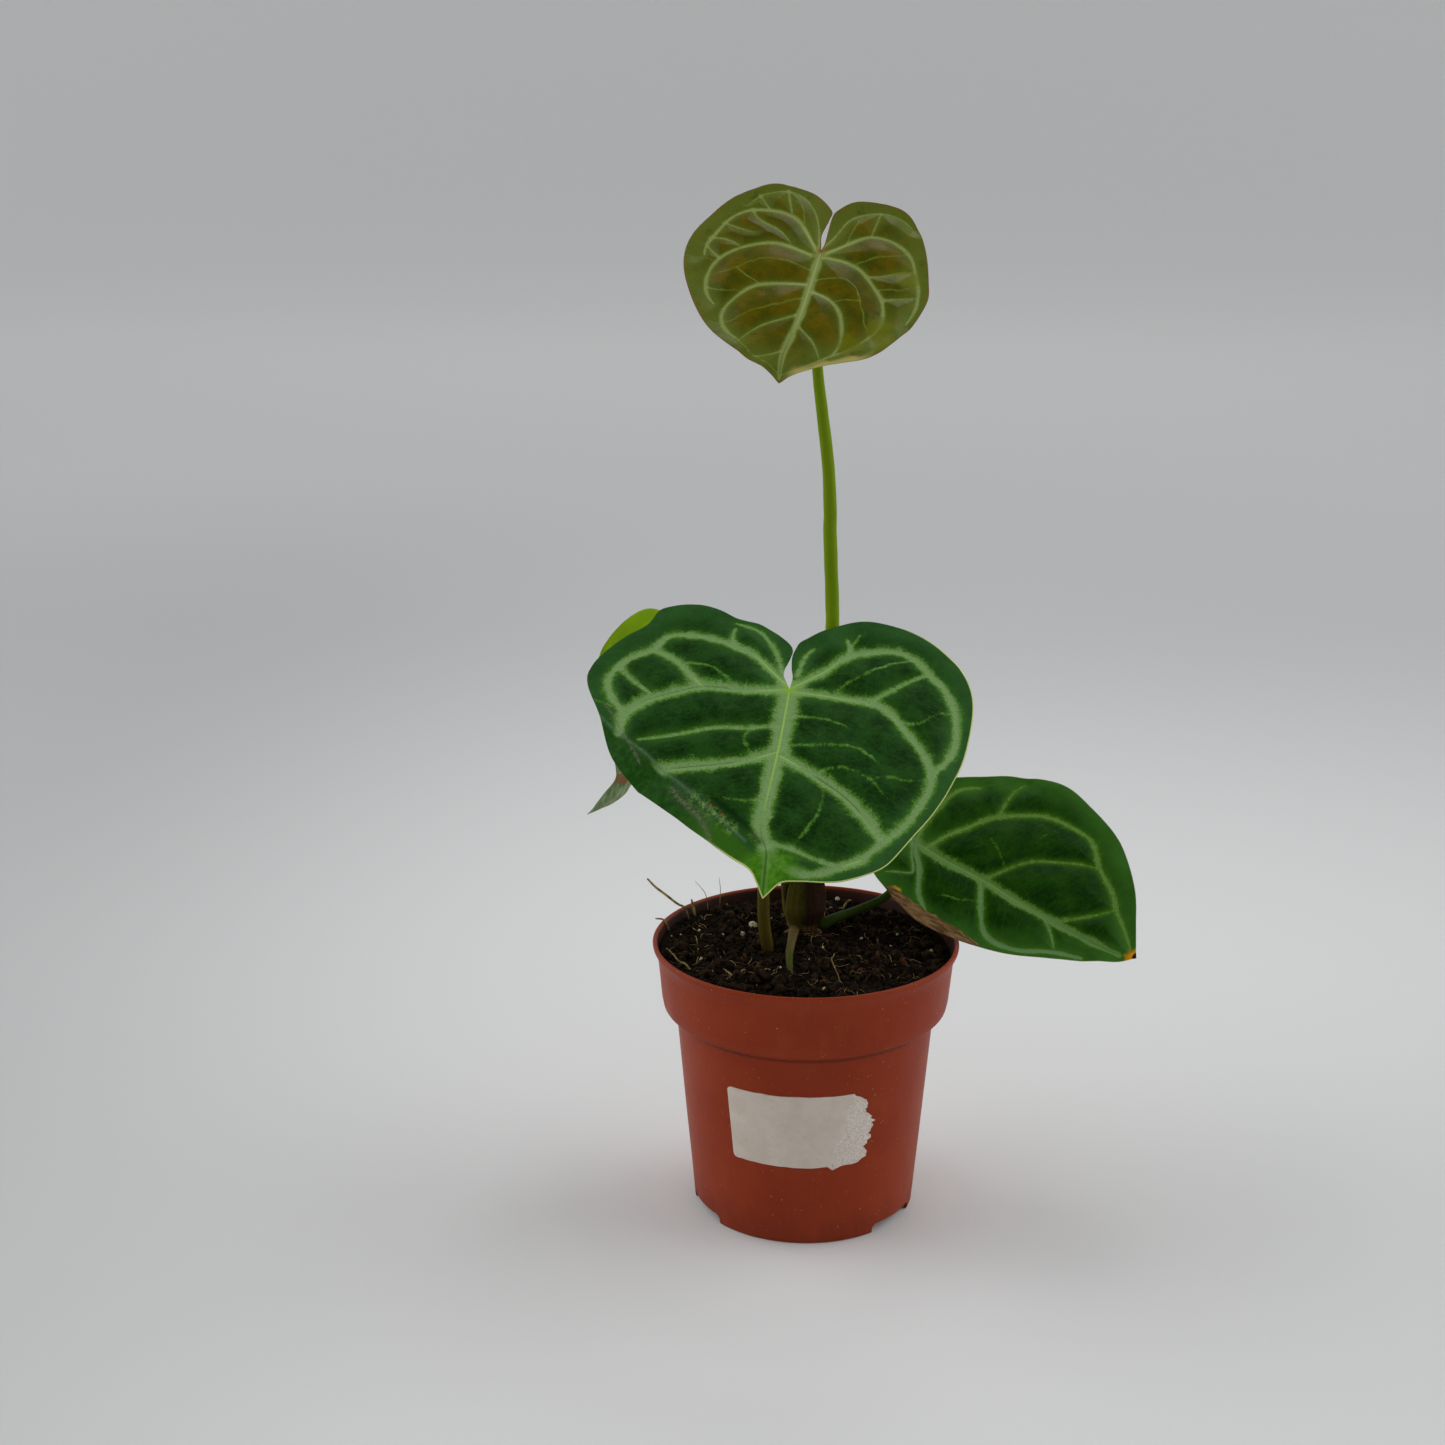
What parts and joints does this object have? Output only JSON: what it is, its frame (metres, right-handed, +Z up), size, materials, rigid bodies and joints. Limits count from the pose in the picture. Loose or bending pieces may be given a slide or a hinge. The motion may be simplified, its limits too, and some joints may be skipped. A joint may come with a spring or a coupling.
{
  "type": "potted anthurium plant",
  "caption": "Potted anthurium with heart-shaped, silver-veined leaves on stalks, a crown and a root in potting mix, in a round plastic nursery pot with a bare paper sticker.",
  "frame": {"origin": "middle of the pot's underside, on the surface it stands on", "axes": "+Z up along the pot's axis, -Y towards the side with the sticker and the tip of the large leaf"},
  "size_m": [0.2227, 0.1838, 0.3971],
  "materials": {
    "pot_plastic": "satin",
    "label_paper": "matte",
    "mix": "rough, damp",
    "crown_skin": "matte",
    "root_skin": "matte",
    "stalk_top_skin": "satin",
    "stalk_front_skin": "satin",
    "stalk_side_skin": "satin",
    "blade_top": "glossy",
    "blade_front": "satin",
    "blade_right": "satin",
    "blade_back": "satin"
  },
  "bodies": {
    "root": {"pot": "pot_plastic", "sticker": "label_paper", "potting_mix": "mix", "crown": "crown_skin", "aerial_root": "root_skin", "stalk_top": "stalk_top_skin", "stalk_front": "stalk_front_skin", "stalk_right": "stalk_side_skin", "stalk_back": "stalk_side_skin", "leaf_top": "blade_top", "leaf_front": "blade_front", "leaf_right": "blade_right", "leaf_back": "blade_back"}
  },
  "joints": []
}
